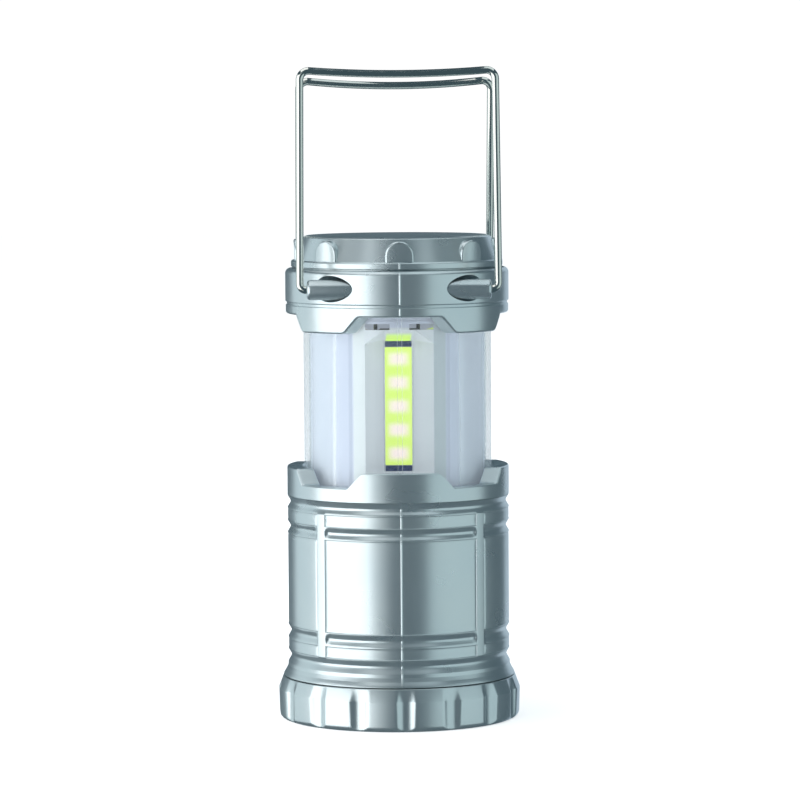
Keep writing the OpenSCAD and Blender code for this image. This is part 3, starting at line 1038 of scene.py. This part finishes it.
class LANTERN_OT_light_strips(bpy.types.Operator):
    """Strip boards, their phosphor and their end clips, three of each"""

    bl_idname = "lantern.light_strips"
    bl_label = "Light strips"

    def execute(self, context):
        low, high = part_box("cob_boards")
        z0, z1 = low.z, high.z
        back = -12 * MM
        face = back - 1.2 * MM
        board = slab("strip_boards", 5.38 * MM, face, back, z0, z1, 0.3 * MM)
        ring = ring_tree()
        ring.run(board, Count=3, Material=board_mask())
        finish_piece(board, "head", "cob_boards", board_mask())
        end = 2.3 * MM
        glow = slab("strip_phosphor", 5.0 * MM, face - 0.55 * MM, face, z0 + end, z1 - end, 0.5 * MM)
        ring.run(glow, Count=3, Material=lit_phosphor())
        finish_piece(glow, "head", "cob_phosphor", lit_phosphor())
        glow.visible_diffuse = False
        glow.visible_glossy = False
        clips = [
            slab("end_clips", 4.9 * MM, face - 0.7 * MM, face, z, z + 2.1 * MM, 0.25 * MM)
            for z in (z0 + 0.05 * MM, z1 - 2.15 * MM)
        ]
        clip = join("end_clips", clips)
        ring.run(clip, Count=3, Material=navy_clip())
        finish_piece(clip, "head", "strip_clips", navy_clip())
        return {"FINISHED"}


# ---------------------------------------------------------------- bails


def bail_path(side, lean, taper, sag):
    """Centre line of one bail, from the right pin to the left: side is -1 in front and 1 behind."""
    pivot = pivot_point()
    foot, bend, length = 2.4, 3.3, 79.9
    leg0 = BARREL_END + 0.1 + foot
    leg1 = leg0 - taper
    shoulder = length - bend
    quarter_turn = np.linspace(0, math.pi / 2, 13)
    half = [(BARREL_END - 7, 0), (BARREL_END, 0)]
    half += [(leg0 - foot + foot * math.sin(t), foot - foot * math.cos(t)) for t in quarter_turn]
    half += [(leg0 + (leg1 - leg0) * k / 12, foot + (shoulder - foot) * k / 12) for k in range(1, 12)]
    half += [(leg1 - bend + bend * math.cos(t), shoulder + bend * math.sin(t)) for t in quarter_turn]
    half += [((leg1 - bend) * (1 - k / 12), length - sag * (1 - (1 - k / 12) ** 2)) for k in range(1, 13)]
    out = []
    for x, up in half + [(-x, up) for x, up in reversed(half[:-1])]:
        y = side * (abs(pivot.y) - up * MM * math.sin(lean))
        out.append((x * MM, y, pivot.z + up * MM * math.cos(lean)))
    return out


class LANTERN_OT_bails(bpy.types.Operator):
    """Two bent wire bails"""

    bl_idname = "lantern.bails"
    bl_label = "Bails"

    def execute(self, context):
        tree = wire_tree()
        bails = (("front_bail", -1, 4.5, 0.5, 1.25), ("rear_bail", 1, 17.8, 0.3, 1.8))
        for name, side, lean, taper, sag in bails:
            path = bail_path(side, math.radians(lean), taper, sag)
            mesh = bpy.data.meshes.new(name + "_wire")
            mesh.from_pydata(path, [(i, i + 1) for i in range(len(path) - 1)], [])
            wire = bpy.data.objects.new(name + "_wire", mesh)
            bpy.context.scene.collection.objects.link(wire)
            tree.run(wire, Radius=sizes().wire_radius, Sides=32, Material=polished_wire())
            wire.data.shade_smooth()
            wire.data.set_sharp_from_angle(angle=math.radians(50))
            finish_piece(wire, name, name, polished_wire())
        return {"FINISHED"}


# ---------------------------------------------------------------- carried-over pieces


class LANTERN_OT_inner_parts(bpy.types.Operator):
    """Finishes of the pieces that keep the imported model's shape"""

    bl_idname = "lantern.inner_parts"
    bl_label = "Inner parts"

    def execute(self, context):
        rubber = plain("soft_rubber", (0.035, 0.035, 0.04), (0.05, 0.05, 0.055), 0.6, scale=1500, depth=0.15)
        dark = plain("dark_moulding", (0.05, 0.05, 0.055), (0.075, 0.075, 0.08), 0.45, scale=1200, depth=0.12)
        jacket = plain("cell_jacket", (0.05, 0.2, 0.12), (0.07, 0.25, 0.15), 0.3, 0.4, scale=300, coat=0.4)
        nickel = plain("nickel_plate", (0.66, 0.64, 0.6), (0.74, 0.72, 0.69), 0.22, 1.0, scale=700)
        zinc = plain("zinc_plate", (0.5, 0.5, 0.5), (0.6, 0.6, 0.58), 0.3, 1.0, scale=900)
        brass = plain("contact_brass", (0.72, 0.5, 0.2), (0.8, 0.6, 0.28), 0.25, 1.0, scale=700)
        green = plain("board_green", (0.02, 0.16, 0.07), (0.03, 0.2, 0.09), 0.35, scale=600, coat=0.3)
        lead_cover = plain("lead_jacket", (0.06, 0.07, 0.07), (0.09, 0.1, 0.1), 0.45, scale=900)
        finishes = {
            "tube_seal": rubber,
            "tube_gasket": rubber,
            "cover_seal": rubber,
            "battery_holder": dark,
            "driver_parts": dark,
            "aa_cells": jacket,
            "upper_contacts": nickel,
            "cover_contacts": nickel,
            "cell_springs": nickel,
            "holder_screws": zinc,
            "head_screws": zinc,
            "post_contacts": brass,
            "contact_wipers": brass,
            "driver_board": green,
            "strip_leads": lead_cover,
            "reflector": metallised(),
        }
        for node, material in finishes.items():
            obj = frame["nodes"][node]
            for slot in obj.material_slots:
                slot.material = material
        return {"FINISHED"}


# ---------------------------------------------------------------- studio


def round_sheet(name, rows):
    """A sheet turned about the axis from rows of (radius, height)."""
    steps = 48
    angles = [TURN * k / steps for k in range(steps)]
    verts = [(r * math.cos(a), r * math.sin(a), z) for r, z in rows for a in angles]
    faces = ring_faces(len(rows), steps)
    faces.append(tuple(range(steps)))
    mesh = bpy.data.meshes.new(name)
    mesh.from_pydata(verts, [], faces)
    obj = bpy.data.objects.new(name, mesh)
    bpy.context.scene.collection.objects.link(obj)
    return obj


def softbox(name, azimuth, elevation, distance, width, height, radiance, colour, aim=0.12):
    """A rectangular light at an azimuth from the front (degrees, + to the right), turned to the lantern."""
    light = bpy.data.lights.new(name, "AREA")
    light.shape = "RECTANGLE"
    light.size, light.size_y = width, height
    light.energy = radiance * math.pi * width * height
    light.color = colour
    obj = bpy.data.objects.new(name, light)
    a, e = math.radians(azimuth), math.radians(elevation)
    back = Vector((math.sin(a) * math.cos(e), -math.cos(a) * math.cos(e), math.sin(e)))
    obj.location = Vector((0, 0, aim)) + back * distance
    obj.rotation_mode = "QUATERNION"
    obj.rotation_quaternion = back.to_track_quat("Z", "Y")
    obj.visible_camera = False
    bpy.context.scene.collection.objects.link(obj)


class LANTERN_OT_stage(bpy.types.Operator):
    """Pale floor with a painted contact shadow, soft lights and the camera"""

    bl_idname = "lantern.stage"
    bl_label = "Studio"

    def execute(self, context):
        scene = context.scene
        scene.view_settings.view_transform = "Standard"
        st = scene.lantern_stage
        world = bpy.data.worlds.new("studio")
        world.use_nodes = True
        world.node_tree.nodes["Background"].inputs["Color"].default_value = (0.06, 0.10, 0.125, 1)
        scene.world = world

        floor_obj = round_sheet("floor", [(0.001, 0), (0.5, 0), (2, 0), (6, 0)])
        f = Finish("pale_floor")
        tone = f.mix(f.stretch(f.noise(3, 2), 0, 1), (0.80, 0.80, 0.80), (0.82, 0.82, 0.82))
        away = f.node("ShaderNodeVectorMath", {"operation": "LENGTH"}, output=1, _0=f.place)
        # painted contact shadow: the floor's glow is darker near the lantern, from 0.66 at 5 cm out to 0.95
        # at 30 cm
        lit = f.node("ShaderNodeMapRange", Value=away, From_Min=0.05, From_Max=0.3, To_Min=0.66, To_Max=0.95)
        shade = f.node("ShaderNodeCombineColor", Red=lit, Green=lit, Blue=lit)
        shine = f.surface(Base_Color=tone, Roughness=0.7, Emission_Color=shade, Emission_Strength=1.0)
        floor_obj.data.materials.append(shine)
        floor_obj.visible_glossy = False
        floor_obj.visible_shadow = False

        arc = [math.radians(a) for a in range(0, 91, 6)]
        dome_rows = [(6 * math.cos(a) + 0.001, 6 * math.sin(a) - 0.01) for a in arc]
        dome_obj = round_sheet("backdrop", dome_rows)
        b = Finish("white_backdrop")
        dome_obj.data.materials.append(b.end(b.node("ShaderNodeEmission", Color=(1, 1, 1), Strength=1.05)))
        for key in ("visible_glossy", "visible_diffuse", "visible_transmission", "visible_shadow"):
            setattr(dome_obj, key, False)

        softbox("left_box", -62, 0, 1.5, 1.95, 1.9, 1.9, (1.0, 1.0, 1.0))
        softbox("left_feather", -22, 0, 1.5, 0.36, 1.9, 0.55, (0.97, 1.0, 1.0))
        softbox("right_box", 62, 0, 1.5, 1.95, 1.9, 0.66, (0.86, 1.0, 1.0))
        softbox("rear_left_box", -118, 0, 1.5, 1.1, 1.7, 0.75, (0.9, 1.0, 1.02))
        softbox("rear_right_box", 157, 0, 1.5, 0.8, 1.7, 0.6, (0.85, 0.97, 1.1))
        softbox("top_left_box", -90, 70, 1.3, 2.0, 0.8, 1.2, (1.0, 1.0, 1.0))
        softbox("top_right_box", 90, 70, 1.3, 2.0, 0.8, 0.85, (0.92, 1.0, 1.02))

        camera = bpy.data.cameras.new("camera")
        camera.lens = st.lens
        camera.sensor_width = 36
        camera.clip_start, camera.clip_end = 0.05, 50
        cam = bpy.data.objects.new("camera", camera)
        place = Vector((math.sin(st.azimuth), -math.cos(st.azimuth), 0)) * st.distance
        place.z = st.height
        aim = Vector((0.0009, 0, st.aim_height))
        cam.location = place
        cam.rotation_mode = "QUATERNION"
        look = (aim - place).to_track_quat("-Z", "Y")
        cam.rotation_quaternion = look @ Quaternion((0, 0, 1), st.roll)
        scene.collection.objects.link(cam)
        scene.camera = cam
        return {"FINISHED"}


# ---------------------------------------------------------------- add-on


OPERATORS = (
    LANTERN_OT_battery_cover,
    LANTERN_OT_body_shell,
    LANTERN_OT_crown_ring,
    LANTERN_OT_collar,
    LANTERN_OT_top_cap,
    LANTERN_OT_lens_tube,
    LANTERN_OT_light_strips,
    LANTERN_OT_bails,
    LANTERN_OT_inner_parts,
    LANTERN_OT_stage,
)


class LANTERN_PT_panel(bpy.types.Panel):
    """Lists the lantern's pieces"""

    bl_idname = "LANTERN_PT_panel"
    bl_label = "Camping lantern"
    bl_space_type = "VIEW_3D"
    bl_region_type = "UI"
    bl_category = "Lantern"

    def draw(self, context):
        scene = context.scene
        for group in (scene.lantern_sizes, scene.lantern_colours, scene.lantern_stage):
            box = self.layout.box()
            for key in group.bl_rna.properties.keys():
                if key not in ("rna_type", "name"):
                    box.prop(group, key)
        for operator in OPERATORS:
            self.layout.operator(operator.bl_idname)


CLASSES = (LanternSizes, LanternColours, LanternStage, *OPERATORS, LANTERN_PT_panel)


def register():
    for c in CLASSES:
        bpy.utils.register_class(c)
    bpy.types.Scene.lantern_sizes = bpy.props.PointerProperty(type=LanternSizes)
    bpy.types.Scene.lantern_colours = bpy.props.PointerProperty(type=LanternColours)
    bpy.types.Scene.lantern_stage = bpy.props.PointerProperty(type=LanternStage)


def unregister():
    del bpy.types.Scene.lantern_stage
    del bpy.types.Scene.lantern_colours
    del bpy.types.Scene.lantern_sizes
    for c in reversed(CLASSES):
        bpy.utils.unregister_class(c)


def main():
    register()
    for operator in OPERATORS:
        getattr(bpy.ops.lantern, operator.bl_idname.split(".")[1])()


if __name__ == "__main__":
    main()
